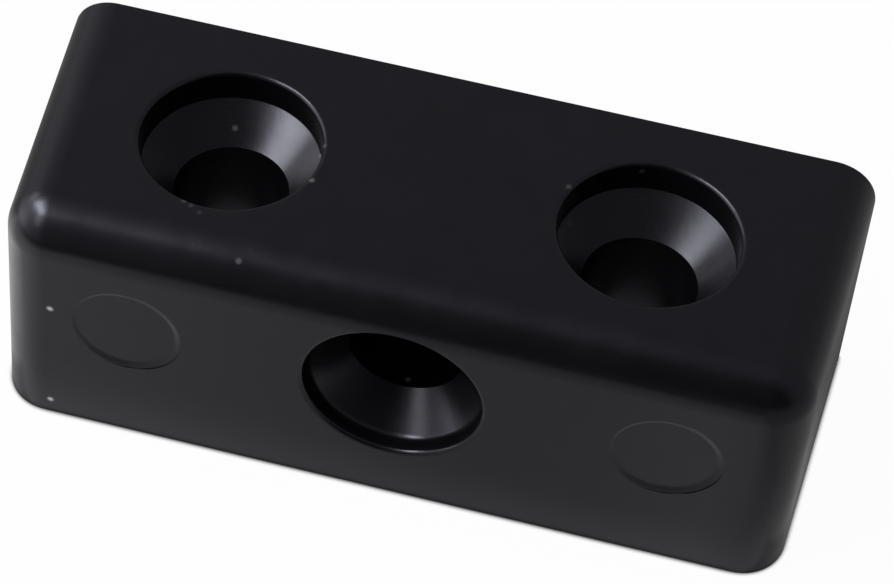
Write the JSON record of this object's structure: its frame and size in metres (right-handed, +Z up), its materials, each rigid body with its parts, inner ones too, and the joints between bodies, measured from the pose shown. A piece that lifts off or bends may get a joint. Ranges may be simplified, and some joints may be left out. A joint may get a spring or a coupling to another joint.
{
  "type": "cabinet connector block",
  "caption": "Moulded plastic block with rounded outer edges and countersunk screw holes through its top and front, for fastening cabinet panels at a right angle.",
  "frame": {"origin": "centre of the block's bounding box on the plane of its flat base", "axes": "+X along the length, +Y out of the flat back face, +Z up out of the base along the top holes"},
  "size_m": [0.0428, 0.0153, 0.0143],
  "materials": {
    "black_plastic": "satin black moulded plastic with a fine grain"
  },
  "bodies": {
    "root": {"connector_block": "black_plastic"}
  },
  "joints": []
}
